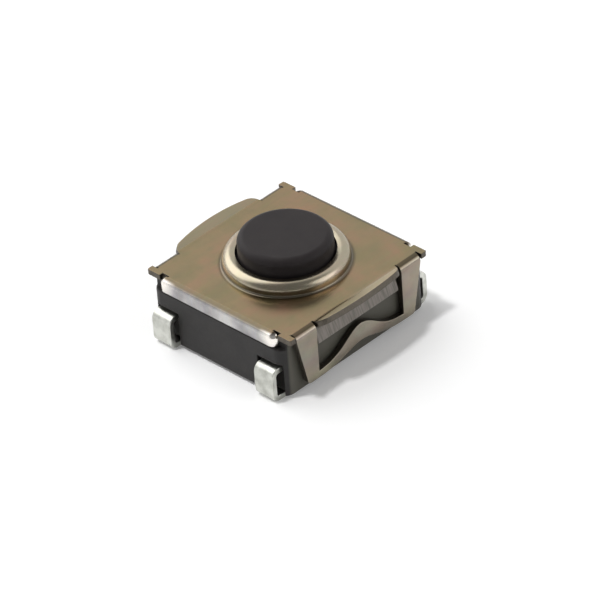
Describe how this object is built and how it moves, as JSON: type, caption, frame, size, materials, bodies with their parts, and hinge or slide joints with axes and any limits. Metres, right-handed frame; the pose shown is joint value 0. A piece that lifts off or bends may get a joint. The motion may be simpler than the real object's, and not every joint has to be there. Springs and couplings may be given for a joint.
{
  "type": "surface-mount tactile push button switch",
  "caption": "Square sealed surface-mount tactile push button switch: stamped steel cover with an raised, drawn collar, round dark button, moulded base and J-bent solder terminals.",
  "frame": {"origin": "centre of the bounding box in plan, on the plane of the solder feet", "axes": "+Z along the button's axis away from the board; the cover's flaps are on the X sides and the terminals on the Y sides"},
  "size_m": [0.007, 0.0072, 0.0034],
  "materials": {
    "moulded_base": "matt moulded thermoplastic, near black",
    "tinned_contacts": "bright tin plating on copper alloy",
    "spring_steel": "bright rolled spring steel",
    "silicone": "matt moulded silicone rubber",
    "button_plastic": "fine matt moulded plastic, charcoal",
    "cover_steel": "rolled and stamped stainless steel with a warm tone"
  },
  "bodies": {
    "housing": {"base_housing": "moulded_base", "centre_contact_frame": "tinned_contacts", "outer_contact_frame": "tinned_contacts", "snap_dome": "spring_steel", "rubber_seal": "silicone", "steel_cover": "cover_steel"},
    "button": {"push_button": "button_plastic"}
  },
  "joints": [
    {"name": "button_press", "type": "slide", "parent": "housing", "child": "button", "axis": [0, 0, -1], "range_m": [0, 0.00035], "stiffness_N_per_m": 7000, "deforming": ["snap_dome", "rubber_seal"]}
  ]
}
